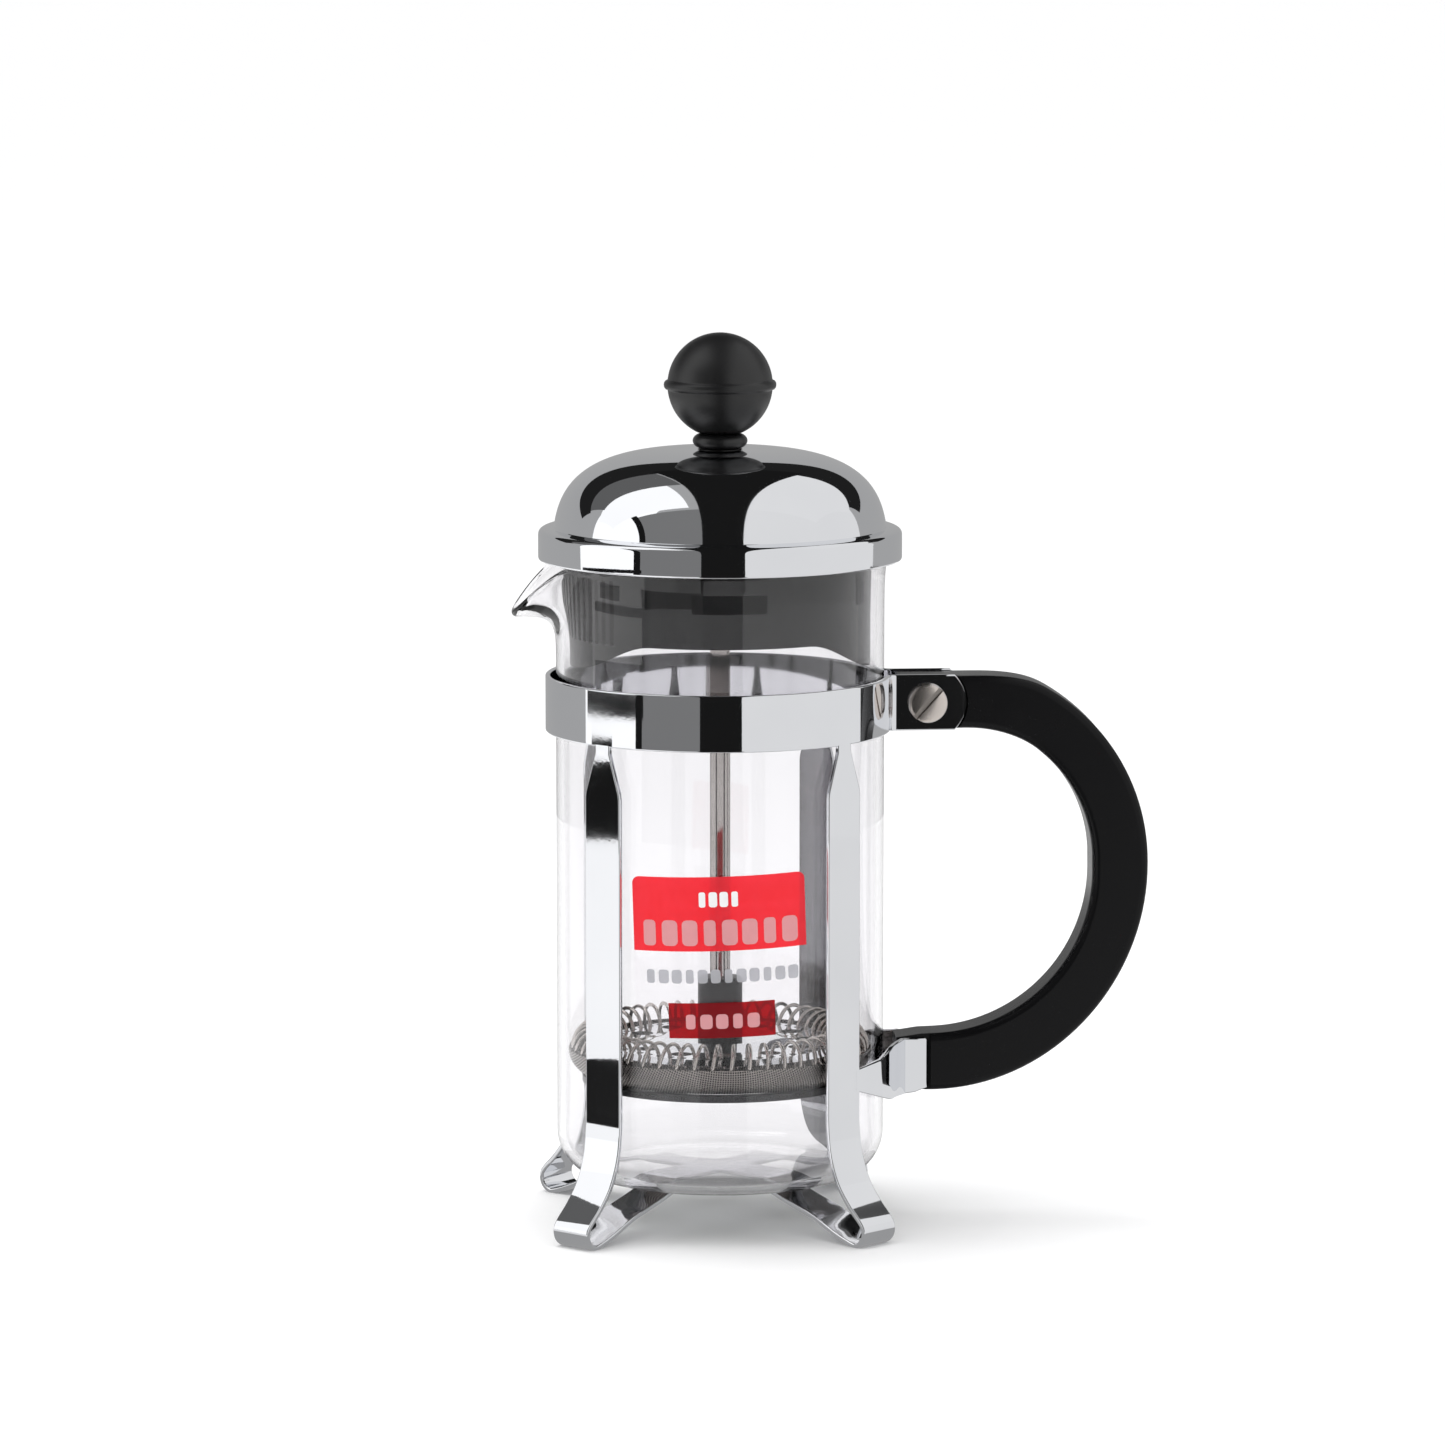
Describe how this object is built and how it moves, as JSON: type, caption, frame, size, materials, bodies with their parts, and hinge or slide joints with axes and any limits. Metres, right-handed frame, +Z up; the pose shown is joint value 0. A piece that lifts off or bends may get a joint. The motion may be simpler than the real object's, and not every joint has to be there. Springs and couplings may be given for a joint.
{
  "type": "french press",
  "caption": "Press-pot coffee maker: glass beaker in a chrome strip frame with a moulded loop handle, a domed lid, and a sliding plunger with a spring-edged mesh filter.",
  "frame": {"origin": "middle of the whole object's outline on the surface that it stands on", "axes": "+Z up along the plunger, +X towards the handle, -X towards the spout"},
  "size_m": [0.1398, 0.0796, 0.196],
  "materials": {
    "chrome": "mirror polished chrome plate",
    "black_plastic": "satin moulded",
    "glass": "clear borosilicate",
    "label": "clear film with a red print",
    "nickel": "nickel plate",
    "steel": "drawn stainless wire and rod",
    "mesh": "woven stainless mesh",
    "dark_steel": "polished pressed steel",
    "brass": "machined"
  },
  "bodies": {
    "frame": {"frame_band": "chrome", "leg_front_left": "chrome", "leg_front_right": "chrome", "leg_rear_left": "chrome", "leg_rear_right": "chrome", "base_cross": "chrome", "handle_bracket_front": "chrome", "handle_bracket_rear": "chrome", "handle": "black_plastic", "handle_screw": "nickel", "handle_nut": "nickel"},
    "beaker": {"beaker": "glass", "label_film": "label"},
    "lid_hub": {"lid_collar": "black_plastic"},
    "lid": {"lid_dome": "chrome", "lid_insert": "black_plastic"},
    "plunger": {"plunger_rod": "steel", "knob_insert": "brass", "knob": "black_plastic", "rod_sleeve": "black_plastic"},
    "filter": {"spiral_plate": "chrome", "spring_coil": "steel", "filter_mesh": "mesh", "cross_plate": "dark_steel"}
  },
  "joints": [
    {"name": "beaker_lift", "type": "slide", "parent": "frame", "child": "beaker", "axis": [0, 0, 1], "range_m": [0, 0.115]},
    {"name": "lid_lift", "type": "slide", "parent": "beaker", "child": "lid_hub", "axis": [0, 0, 1], "range_m": [0, 0.125]},
    {"name": "lid_turn", "type": "hinge", "parent": "lid_hub", "child": "lid", "pos_m": [-0.02425, 0, 0.15], "axis": [0, 0, 1], "continuous": true},
    {"name": "plunger_press", "type": "slide", "parent": "lid_hub", "child": "plunger", "axis": [0, 0, 1], "range_m": [0, 0.079]},
    {"name": "filter_unscrew", "type": "hinge", "parent": "plunger", "child": "filter", "pos_m": [-0.02425, 0, 0.0368], "axis": [0, 0, -1], "continuous": true}
  ]
}
